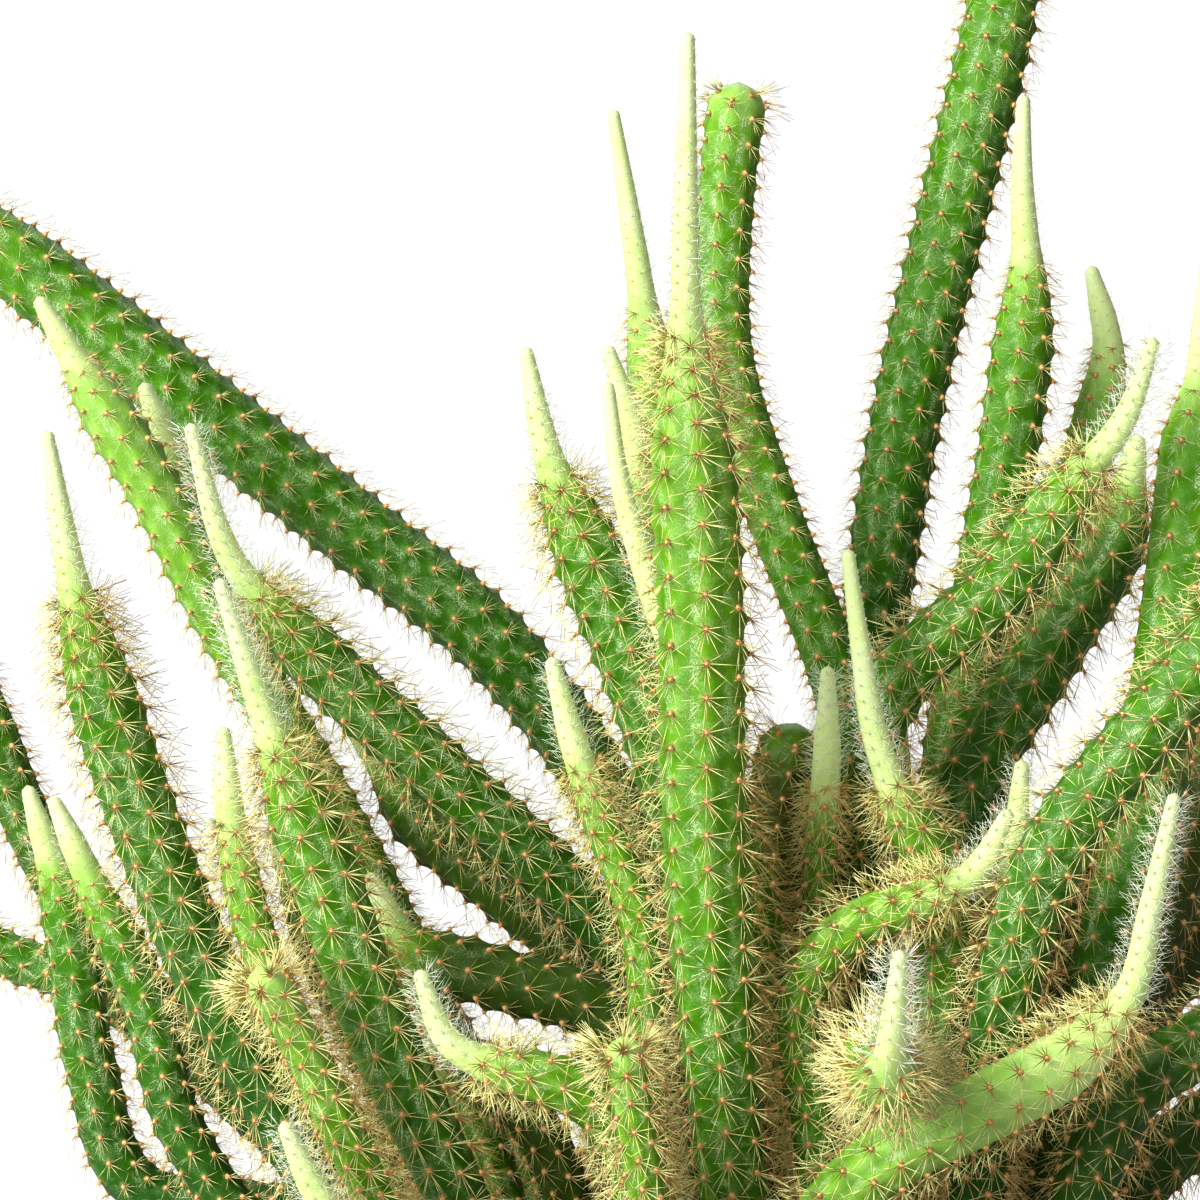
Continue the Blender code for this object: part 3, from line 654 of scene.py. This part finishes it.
def makeSkin(name, course, turnBy, material):
    stem, detail, shape = course["stem"], details[course["stem"].detail], stemShape
    steps = round(course["steps"][-1])
    bpy.ops.mesh.primitive_grid_add(x_subdivisions=stem.ribs * detail["columns"],
                                    y_subdivisions=steps * shape["rowsPerStep"], size=2)
    skin = named(bpy.context.object, name + "_skin")
    mesh = skin.data
    flat = (placesOf(mesh) + 1) / 2
    ribs, rows = flat[:, 0] * stem.ribs, flat[:, 1] * steps
    places, crest, _, along = surface(course, ribs, rows, turnBy)
    setPlaces(mesh, places * mm)
    shoulder = read(course, along, "shoulder")
    bodyEnd = course["length"] - stem.tail
    faded = smoothStep((along - shape["fadeStart"]) / (bodyEnd - shape["fadeStart"]))
    age = (shape["oldTone"] - shape["fade"] * faded + stem.tone) * (1 - shoulder)
    age += read(course, along, "young")
    setValues(mesh, "age", np.clip(age, 0, 1))
    setValues(mesh, "crest", crest)
    corkAndShade = shape["footCork"] * (1 - smoothStep((along - shape["corkStart"]) / shape["corkReach"]))
    # painted shade: a deep stem tone darkens and browns the stems inside the clump through the cork colour
    corkAndShade += shape["paintedShadeShare"] * max(0, stem.tone - shape["paintedShadeTone"]) * (1 - shoulder)
    setValues(mesh, "corkAndShade", np.minimum(corkAndShade, shape["mostCorkAndShade"]))
    ribMap = mesh.uv_layers[0]
    ribMap.name = "ribs"
    corners = np.zeros(len(mesh.loops) * 2, np.float32)
    ribMap.data.foreach_get("uv", corners)
    ribMap.data.foreach_set("uv", (corners.reshape(-1, 2) * (stem.ribs, steps)).astype(np.float32).ravel())
    selectOnly(skin)
    editAll()
    bpy.ops.mesh.remove_doubles(threshold=shape["weld"] * mm)
    bpy.ops.mesh.select_all(action="DESELECT")
    bpy.ops.mesh.select_mode(type="EDGE")
    bpy.ops.mesh.select_non_manifold()
    bpy.ops.mesh.edge_face_add()
    bpy.ops.mesh.select_all(action="SELECT")
    bpy.ops.mesh.normals_make_consistent(inside=False)
    leaveEdit()
    bpy.ops.object.shade_smooth()
    return hand(skin, name, material)


spineShape = {
    "length": 5.8,
    "thickness": 0.205,
    "hairLength": 4.8,
    "hairThickness": 0.12,
    "padRadius": 0.52,
    "padHeight": 0.66,
    "footRise": 0.16,
    "footRing": 0.36,
    "bareTails": ("front_main", "left_outer", "middle_left", "middle_shoot", "right_shoot"),
    "spin": 0.3,
    "turnDrift": 0.16,
    "leanDrift": 0.14,
    "leastLean": 0.1,
    "mostLean": 1.42,
    "crownLean": 0.45,
    "edgeTwist": 0.31,
    "shortest": 0.7,
    "longest": 1.14,
    "hairFade": -0.3,
    "needleGain": 0.12,
    "crownGain": 0.35,
    "bareShare": 0.85,
    "bareReach": 0.7,
    "slimSize": 0.72,
    "sizeGain": 0.28,
    "fullThickness": 12,
    "shoulderFrom": 0.04,
    "warmth": 0.02,
    "youngWarmth": 0.14,
    "warmthDrift": 0.16,
    "footSink": 0.15,
    "padSink": 0.12,
    "hairStart": 0.86,
    "smallFrom": 0.62,
    "smallReach": 0.36,
    "padLoss": 0.72,
    "paleFrom": 0.7,
    "shadyWay": (0.95, 0.2, -0.25),
    "shadyFrom": 0.35,
    "shadyReach": 0.6,
}

# Each needle of a tuft: turned so far from the way down the stem, leaning so far from straight out,
# and its share of the full length. The first ones are in every tuft.
tuft = [
    (8, 70, 1.0), (-40, 66, 1.0), (44, 68, 0.95), (88, 70, 0.9), (-88, 68, 0.8), (-14, 38, 0.9),
    (-64, 44, 0.85), (66, 40, 0.85), (20, 18, 0.75), (130, 60, 0.7), (-132, 56, 0.7), (24, 54, 0.95),
    (-30, 52, 0.95), (104, 44, 0.8), (-108, 34, 0.8), (178, 50, 0.7), (-60, 20, 0.85), (60, 22, 0.85),
]
hairTuft = [
    (150, 44, 1.0), (-150, 46, 1.0), (96, 54, 0.95), (-96, 52, 0.95), (180, 60, 0.9), (10, 34, 0.8),
]


def modelCone(sides, radius):  # one high, with its foot at the origin
    bpy.ops.mesh.primitive_cone_add(vertices=sides, radius1=radius, radius2=0, depth=1,
                                    location=(0, 0, 0.5))
    placeInMesh(bpy.context.object)
    return bpy.context.object


def modelNeedle():  # one long, with a narrow edge at each end, so that it keeps its width up to the tip
    needle = modelCone(3, 0.5)
    for point in needle.data.vertices:
        point.select = point.co.y > 0.3 and point.co.z < 0.1
    for part in [*needle.data.edges, *needle.data.polygons]:
        part.select = False
    bpy.ops.object.mode_set(mode="EDIT")
    bpy.ops.mesh.select_mode(type="VERT")
    bpy.ops.transform.translate(value=(0, -0.05, 1))
    bpy.ops.mesh.select_all(action="SELECT")
    bpy.ops.mesh.normals_make_consistent(inside=False)
    leaveEdit()
    return takeShape(needle)


def copiesOf(shape, feet, across, over, outward):
    # The shape's x, y and z go along the three vectors of every copy
    places, corners = shape
    made = (feet[:, None, :] + places[None, :, 0, None] * across[:, None, :]
            + places[None, :, 1, None] * over[:, None, :] + places[None, :, 2, None] * outward[:, None, :])
    offsets = np.arange(len(feet)) * len(places)
    return made.reshape(-1, 3), (corners[None, :, :] + offsets[:, None, None]).reshape(-1, 3)


def areolesOf(course, turnBy):
    stem = course["stem"]
    ribs, rows, last = [], [], round(course["steps"][-1])
    for rib in range(stem.ribs):
        ownRows = list(np.arange(1, last) + 0.5 * (rib % 2))
        if not stem.tail:
            ownRows.append(last - stemShape["bluntRow"] + stemShape["rowShift"] * (rib % 2))
        ribs += [rib] * len(ownRows)
        rows += ownRows
    places, _, outward, along = surface(course, np.array(ribs, float), np.array(rows), turnBy)
    bareTip = stemShape["bareTip"] if stem.tail else 0.1
    kept = (along > stemShape["bareFoot"]) & (along < course["length"] - bareTip)
    places, outward, along = places[kept], outward[kept], along[kept]
    tangent = unit(read(course, along, "tangents"))
    outward = unit(outward - tangent * read(course, along, "slope")[:, None])
    down = unit(outward * np.sum(tangent * outward, axis=1)[:, None] - tangent)
    crown = np.zeros(len(along))
    if not stem.tail:
        crown = smoothStep((along - course["length"] + stem.thickness) / stem.thickness)
    return places, outward, down, np.cross(outward, down), read(course, along, "shoulder"), crown, along


def valuesOf(*columns):  # shaft, warmth, hair and pad in four columns
    return np.stack(np.broadcast_arrays(*columns), 1)


def makeSpines(name, course, turnBy, material, needleShape, padShape, chance):
    stem, detail, shape = course["stem"], details[course["stem"].detail], spineShape
    places, outward, down, side, shoulder, crown, along = areolesOf(course, turnBy)
    spin = chance.normal(0, shape["spin"], len(places))
    # painted shade: needles on the side turned away from the key light are browned
    paintedShade = smoothStep((outward @ shape["shadyWay"] - shape["shadyFrom"]) / shape["shadyReach"])
    tailShare = (along - course["length"] + stem.tail) / max(1, shape["bareReach"] * stem.tail)
    tailShare = smoothStep(tailShare)
    size = shape["slimSize"] + shape["sizeGain"] * min(1, stem.thickness / shape["fullThickness"])
    size = detail["size"] * size
    parts = []

    def grow(where, recipe, length, thickness, isHair):
        for number, (turn, lean, share) in enumerate(recipe):
            if detail["sparse"] and not isHair and number >= detail["sparse"]:
                where = where & (shoulder > shape["shoulderFrom"])
            count = int(where.sum())
            turned = np.radians(turn) + spin[where] + chance.normal(0, shape["turnDrift"], count)
            leaned = np.radians(lean) * detail["lean"] * (1 - shape["crownLean"] * crown[where])
            leaned = leaned + chance.normal(0, shape["leanDrift"], count)
            leaned = np.clip(leaned, shape["leastLean"], shape["mostLean"])
            flat = np.cos(turned)[:, None] * down[where] + np.sin(turned)[:, None] * side[where]
            way = np.cos(leaned)[:, None] * outward[where] + np.sin(leaned)[:, None] * flat
            long = length * size * share * chance.uniform(shape["shortest"], shape["longest"], count)
            gain = shape["hairFade"] if isHair else shape["needleGain"]
            long = long * (1 + gain * shoulder[where] + shape["crownGain"] * crown[where])
            if isHair and (name in shape["bareTails"] or stem.detail == "short"):
                long = long * (1 - shape["bareShare"] * tailShare[where])
            across = unit(np.cross(way, outward[where] + shape["edgeTwist"] * down[where]))
            over = np.cross(way, across)
            foot = outward[where] * shape["footRise"] + flat * shape["footRing"] * np.sin(leaned)[:, None]
            feet = places[where] + foot * small[where] - way * shape["footSink"]
            made, corners = copiesOf(needleShape, feet, across * thickness * detail["size"],
                                     over * thickness * detail["size"], way * long[:, None])
            shaft = np.tile(needleShape[0][:, 2], count)
            # a deep stem tone browns the needles too: painted shade on the stems inside the clump
            warmth = shape["warmth"] + max(0, stem.tone - 0.25) + shape["youngWarmth"] * shoulder[where]
            warmth = warmth + detail["brown"] * paintedShade[where]
            warmth = np.repeat(warmth + chance.normal(0, shape["warmthDrift"], count), len(needleShape[0]))
            parts.append((made, corners, valuesOf(shaft, warmth, isHair, 0)))

    inTail = shoulder > shape["hairStart"]
    small = smoothStep((shoulder - shape["smallFrom"]) / shape["smallReach"])
    small = (1 - shape["padLoss"] * small)[:, None]
    grow(~inTail, tuft[:detail["needles"]], shape["length"], shape["thickness"], 0)
    grow(inTail, hairTuft[:detail["hairs"]], shape["hairLength"], shape["hairThickness"], 1)
    made, corners = copiesOf(
        padShape, places - outward * shape["padSink"], down * shape["padRadius"] * small,
        side * shape["padRadius"] * small, outward * shape["padHeight"] * small)
    paler = smoothStep((shoulder - shape["paleFrom"]) / (1 - shape["paleFrom"]))
    paler = np.repeat(paler, len(padShape[0]))
    parts.append((made, corners, valuesOf(0, paler, 0, 1)))
    made, corners, values = zip(*parts)
    starts = np.cumsum([0, *map(len, made[:-1])])
    corners = np.vstack([part + start for part, start in zip(corners, starts)])
    spines = meshFromTriangles(name + "_spines", np.vstack(made) * mm, corners)
    for label, column in zip(("shaft", "warmth", "hair", "pad"), np.vstack(values).T):
        setValues(spines.data, label, column)
    return hand(spines, name, material)


def makeStems():
    skinMaterial, spineMaterial = makeSkinMaterial(), makeSpineMaterial()
    needleShape, padShape = modelNeedle(), takeShape(modelCone(6, 1))  # a pad is a low cushion
    chance = np.random.default_rng(7)
    counts = {"skin": 0, "spines": 0}
    for number, (name, stem) in enumerate(stems.items()):
        course = courseOf(stem)
        turnBy = stemShape["firstCrest"] + stemShape["crestStep"] * number
        skin = makeSkin(name, course, turnBy, skinMaterial)
        spines = makeSpines(name, course, turnBy, spineMaterial, needleShape, padShape, chance)
        counts["skin"] += sum(len(face.vertices) - 2 for face in skin.data.polygons)
        counts["spines"] += len(spines.data.polygons)
    print("stems:", len(stems), "skin triangles:", counts["skin"], "spine triangles:", counts["spines"])


makeStems()


potShape = {
    "height": 110,
    "topRadius": 76,
    "footRadius": 54,
    "rimHeight": 26,
    "rimStep": 4,
    "wall": 7,
    "floor": 8,
    "sides": 96,
    "drainRadius": 4,
    "drainPlace": 27,
    "drainDepth": 30,
    "slab": 4,
    "edge": 1.3,
}


def innerRadius(height):
    shape = potShape
    spread = shape["topRadius"] - shape["rimStep"] - shape["footRadius"]
    return shape["footRadius"] + spread * height / shape["height"] - shape["wall"]


def selectFaces(piece, chosen):  # chosen takes a face and says if it is wanted
    bpy.ops.object.mode_set(mode="EDIT")
    bpy.ops.mesh.select_mode(type="FACE")
    bpy.ops.mesh.select_all(action="DESELECT")
    leaveEdit()
    for face in piece.data.polygons:
        face.select = chosen(face)
    bpy.ops.object.mode_set(mode="EDIT")


def makeEarth(name, roughness, drift, stops, rough, kind=None):  # mottled colours on a rough surface
    material, tree, shader = newMaterial(name, roughness)
    place = objectPlace(tree, (-1200, 0))
    base = pointValues(tree, (-900, 0), kind)[0] if kind else 0.5
    tone = doMath(tree, (-700, 200), "ADD", driftOver(tree, (-900, 200), place, *drift), base, clamp=True)
    body = ramp(tree, (-500, 200), tone, stops)
    tree.links.new(body, shader.inputs["Base Color"])
    roughen(tree, shader, place, *rough)
    return material, tree, shader, place, body


def makeClay():
    material, tree, shader, place, body = makeEarth("bakedClay", 0.85, (28.0, 1.0), [
        (0.1, paint(158, 88, 58)), (0.5, paint(188, 108, 72)), (0.9, paint(206, 132, 94))],
        (700.0, 0.6, 0.4, 0.0004))
    lime = useGroup(tree, powder, (-900, -100), {
        "Vector": place, "Patch Scale": 22.0, "Grain Scale": 2200.0, "Cover": 0.6})["Mask"]
    body = mixColour(tree, (-100, 200), doMath(tree, (-500, -100), "MULTIPLY", lime, 0.55), body,
                     paint(226, 208, 190))
    tree.links.new(body, shader.inputs["Base Color"])
    tree.links.new(fitRange(tree, (200, -50), lime, 0.0, 1.0, 0.78, 0.95), shader.inputs["Roughness"])
    return material


def makePot():
    shape = potShape
    bpy.ops.mesh.primitive_cylinder_add(vertices=shape["sides"], radius=shape["footRadius"] * mm,
                                        depth=shape["slab"] * mm, location=(0, 0, shape["slab"] / 2 * mm))
    pot = named(bpy.context.object, "pot_body")
    placeInMesh(pot)
    rimBottom = shape["height"] - shape["rimHeight"]
    profile = [  # radius and height up the outside, over the rim and down the inside, in millimetres
        (innerRadius(rimBottom) + shape["wall"], rimBottom - shape["rimStep"] / 2),
        (shape["topRadius"] - shape["rimStep"] / 3, rimBottom),
        (shape["topRadius"], shape["height"]),
        (innerRadius(shape["height"]), shape["height"]),
        (innerRadius(shape["floor"]), shape["floor"]),
    ]
    selectFaces(pot, lambda face: face.normal.z > 0.9)
    radius, height = shape["footRadius"], shape["slab"]
    for nextRadius, nextHeight in profile:
        bpy.ops.mesh.extrude_region_move(
            TRANSFORM_OT_translate={"value": (0, 0, (nextHeight - height) * mm)})
        stretch = nextRadius / radius
        bpy.ops.transform.resize(value=(stretch, stretch, 1), center_override=(0, 0, nextHeight * mm))
        radius, height = nextRadius, nextHeight
    leaveEdit()
    edges = pot.modifiers.new("soft edges", "BEVEL")
    edges.width = shape["edge"] * mm
    edges.segments = 3
    edges.limit_method = "ANGLE"
    edges.angle_limit = math.radians(30)
    drills = []
    for i in range(4):
        angle = (i + 0.5) * fullTurn / 4
        drainWay = Vector((math.cos(angle), math.sin(angle), 0))
        bpy.ops.mesh.primitive_cylinder_add(
            vertices=24, radius=shape["drainRadius"] * mm, depth=shape["drainDepth"] * mm,
            location=drainWay * shape["drainPlace"] * mm)
        drills.append(bpy.context.object)
        hole = pot.modifiers.new("drain", "BOOLEAN")
        hole.object = drills[-1]
    selectOnly(pot)
    for modifier in list(pot.modifiers):
        bpy.ops.object.modifier_apply(modifier=modifier.name)
    for drill in drills:
        bpy.data.objects.remove(drill)
    bpy.ops.object.shade_smooth_by_angle(angle=math.radians(32))
    hand(pot, "pot", makeClay())
    print("pot:", len(pot.data.polygons), "faces")


makePot()


soilShape = {
    "top": 102,
    "bottom": 9.6,
    "sides": 120,
    "rings": 40,
    "gap": 0.4,
    "clodSize": 9,
    "clodHeight": 1.1,
    "crumbSize": 2.7,
    "crumbHeight": 0.8,
    "grains": 900,
    "leastGrain": 0.45,
    "grainSpread": 1.1,
    "grainRough": 0.22,
    "grainForm": (1.0, 0.8, 0.65),
    "grainRise": 0.15,
}


def soilHeight(x, y):  # clods and crumbs, in millimetres
    shape = soilShape
    clod = noise.noise(Vector((x, y, 3.7)) / shape["clodSize"]) * shape["clodHeight"]
    crumb = noise.noise(Vector((x, y, 8.1)) / shape["crumbSize"]) * shape["crumbHeight"]
    return clod + crumb


def makeSoil():
    shape = soilShape
    bottomRadius = innerRadius(shape["bottom"]) - shape["gap"]
    topRadius = innerRadius(shape["top"]) - shape["gap"]
    bpy.ops.mesh.primitive_cone_add(
        vertices=shape["sides"], radius1=bottomRadius * mm, radius2=topRadius * mm,
        depth=(shape["top"] - shape["bottom"]) * mm,
        location=(0, 0, (shape["top"] + shape["bottom"]) / 2 * mm))
    soil = named(bpy.context.object, "soil_bed")
    placeInMesh(soil)
    selectFaces(soil, lambda face: face.normal.z > 0.9)
    for _ in range(shape["rings"] - 1):
        bpy.ops.mesh.inset(thickness=topRadius / shape["rings"] * mm, use_boundary=True)
    bpy.ops.mesh.poke()
    leaveEdit()
    places = placesOf(soil.data) / mm
    for place in places:
        if place[2] > shape["top"] - 0.1 and math.hypot(place[0], place[1]) < topRadius - 0.5:
            place[2] += soilHeight(place[0], place[1])
    setPlaces(soil.data, places * mm)
    selectOnly(soil)
    bpy.ops.object.shade_smooth_by_angle(angle=math.radians(60))
    dark = makeEarth("pottingSoil", 0.95, (420.0, 1.6), [
        (0.1, paint(34, 24, 16)), (0.5, paint(62, 46, 32)), (0.9, paint(98, 76, 54))],
        (900.0, 0.8, 0.8, 0.0008))[0]
    hand(soil, "soil", dark)

    bpy.ops.mesh.primitive_ico_sphere_add(subdivisions=1, radius=1)
    stone = bpy.context.object
    editAll()
    bpy.ops.transform.vertex_random(offset=shape["grainRough"], seed=3)
    bpy.ops.transform.resize(value=shape["grainForm"])
    leaveEdit()
    grainShape = takeShape(stone)
    chance = np.random.default_rng(11)
    roots = np.array([(*stem.root, stem.thickness / 2 * stemShape["rootThickness"])
                      for stem in stems.values()])
    feet, sizes = [], []
    while len(feet) < shape["grains"]:
        x, y = chance.uniform(-topRadius, topRadius, 2)
        size = shape["leastGrain"] + shape["grainSpread"] * chance.random() ** 3
        clear = np.hypot(roots[:, 0] - x, roots[:, 1] - y) > roots[:, 2] + size
        if math.hypot(x, y) < topRadius - size and clear.all():
            feet.append((x, y, shape["top"] + soilHeight(x, y) + size * shape["grainRise"]))
            sizes.append(size)
    sizes = np.array(sizes)[:, None]
    first = unit(chance.normal(size=(len(feet), 3)))
    second = unit(np.cross(first, chance.normal(size=(len(feet), 3))))
    third = np.cross(first, second)
    made, corners = copiesOf(grainShape, np.array(feet), first * sizes, second * sizes, third * sizes)
    grit = meshFromTriangles("soil_grit", made * mm, corners)
    kinds = chance.random(len(feet)) ** 1.6
    setValues(grit.data, "kind", np.repeat(kinds, len(grainShape[0])))
    mixed = makeEarth("soilGrit", 0.9, (900.0, 0.35), [
        (0.0, paint(52, 38, 26)), (0.45, paint(96, 74, 52)), (0.7, paint(150, 132, 108)),
        (1.0, paint(226, 220, 208))], (2200.0, 0.5, 0.5, 0.0003), kind="kind")[0]
    hand(grit, "soil", mixed)
    print("soil:", len(soil.data.polygons), "faces,", len(feet), "grains")


makeSoil()


studio = {  # each light: its place, its size and its power
    "skyStrength": 0.08,
    "seenSky": 1.05,
    "floorRadius": 0.9,
    "floorShine": 0.7,
    "lights": {
        "keyLight": ((-0.94, -0.9, 0.86), 1.1, 46),
        "fillLight": ((0.9, -0.7, 0.5), 0.9, 0.5),
        "backLight": ((0.1, 0.95, 0.9), 0.8, 4),
    },
    "lightTarget": (-0.01, -0.02, 0.2),
    "lens": 128.57,
    "cameraPlace": (-0.020, -0.6309, 0.3282),
    "cameraTilt": math.radians(80),
}


def makeStudio():
    bpy.ops.mesh.primitive_circle_add(vertices=64, radius=studio["floorRadius"], fill_type="NGON",
                                      location=(0, 0, -0.2 * mm))
    floor = named(bpy.context.object, "floor")
    material, tree, shader = newMaterial("paleFloor", 0.9)
    shader.inputs["Base Color"].default_value = paint(170, 170, 166)
    shader.inputs["Emission Color"].default_value = (1, 1, 1, 1)
    seen = addNode(tree, "LightPath", (500, -200)).outputs["Is Camera Ray"]
    shine = doMath(tree, (700, -200), "MULTIPLY", seen, studio["floorShine"])
    tree.links.new(shine, shader.inputs["Emission Strength"])
    floor.data.materials.append(material)

    world = bpy.data.worlds.new("studioSky")
    bpy.context.scene.world = world
    world.use_nodes = True
    tree = world.node_tree
    sky = tree.nodes["Background"]
    sky.inputs["Strength"].default_value = studio["skyStrength"]
    sky.inputs["Color"].default_value = (1, 1, 1, 1)
    seen = addNode(tree, "Background", (0, -200), {"Color": (1, 1, 1, 1), "Strength": studio["seenSky"]})
    path = addNode(tree, "LightPath", (-200, 300))
    both = addNode(tree, "MixShader", (250, 100),
                   {0: path.outputs["Is Camera Ray"], 1: sky.outputs[0], 2: seen.outputs[0]})
    tree.links.new(both.outputs[0], tree.nodes["World Output"].inputs["Surface"])

    for name, (place, size, power) in studio["lights"].items():
        bpy.ops.object.light_add(type="AREA", location=place)
        light = bpy.context.object
        light.name = name
        light.data.size = size
        light.data.energy = power
        way = Vector(studio["lightTarget"]) - Vector(place)
        light.rotation_euler = way.to_track_quat("-Z", "Y").to_euler()

    bpy.ops.object.camera_add(location=studio["cameraPlace"], rotation=(studio["cameraTilt"], 0, 0))
    camera = bpy.context.object
    camera.data.lens = studio["lens"]
    camera.data.sensor_width = 36
    camera.data.clip_start = 0.01
    bpy.context.scene.camera = camera
    bpy.context.scene.view_settings.view_transform = "Standard"
    bpy.context.scene.view_settings.gamma = 0.92
    print("studio ready")


makeStudio()
